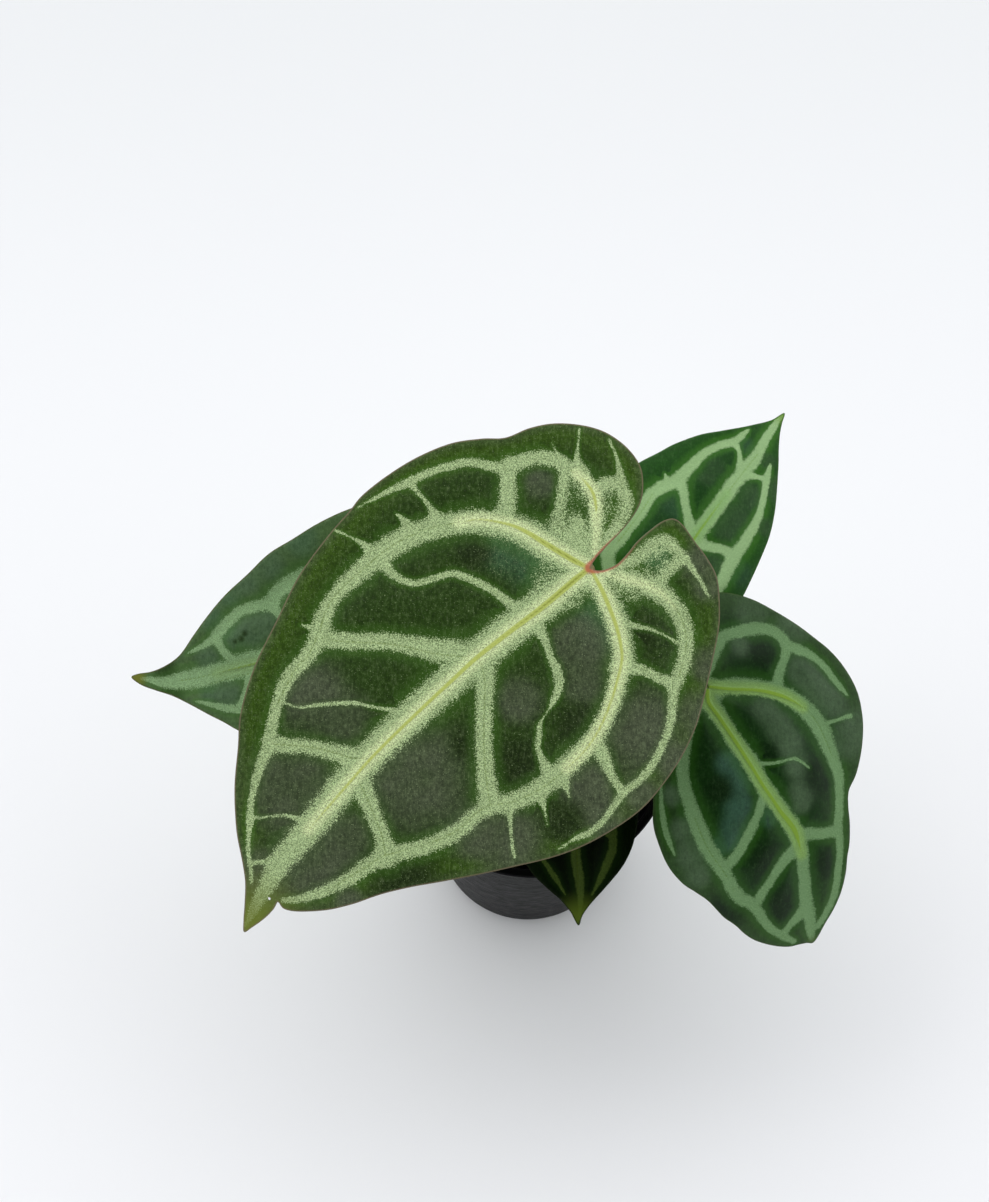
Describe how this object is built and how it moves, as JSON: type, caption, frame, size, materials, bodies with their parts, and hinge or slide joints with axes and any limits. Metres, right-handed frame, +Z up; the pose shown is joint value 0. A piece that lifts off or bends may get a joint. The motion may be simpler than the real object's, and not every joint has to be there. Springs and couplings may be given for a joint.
{
  "type": "potted anthurium plant",
  "caption": "Potted anthurium hybrid: heart-shaped, hanging leaves with pale sunken veins on separate petioles, on a short stem in bark mix in a round tapered nursery pot with drainage holes.",
  "frame": {"origin": "centre of the pot's flat underside, which stands on the floor", "axes": "+Z up along the pot's axis, -Y towards the viewer of the picture, +X to the viewer's right"},
  "size_m": [0.2073, 0.1513, 0.165],
  "materials": {
    "leaf": "satin",
    "petiole": "satin",
    "stem": "matte",
    "mix": "matte",
    "pot": "satin"
  },
  "bodies": {
    "root": {"blade_front": "leaf", "blade_left": "leaf", "blade_back": "leaf", "blade_right": "leaf", "blade_young": "leaf", "petiole_front": "petiole", "petiole_left": "petiole", "petiole_back": "petiole", "petiole_right": "petiole", "petiole_young": "petiole", "stem": "stem", "potting_mix": "mix", "nursery_pot": "pot"}
  },
  "joints": []
}
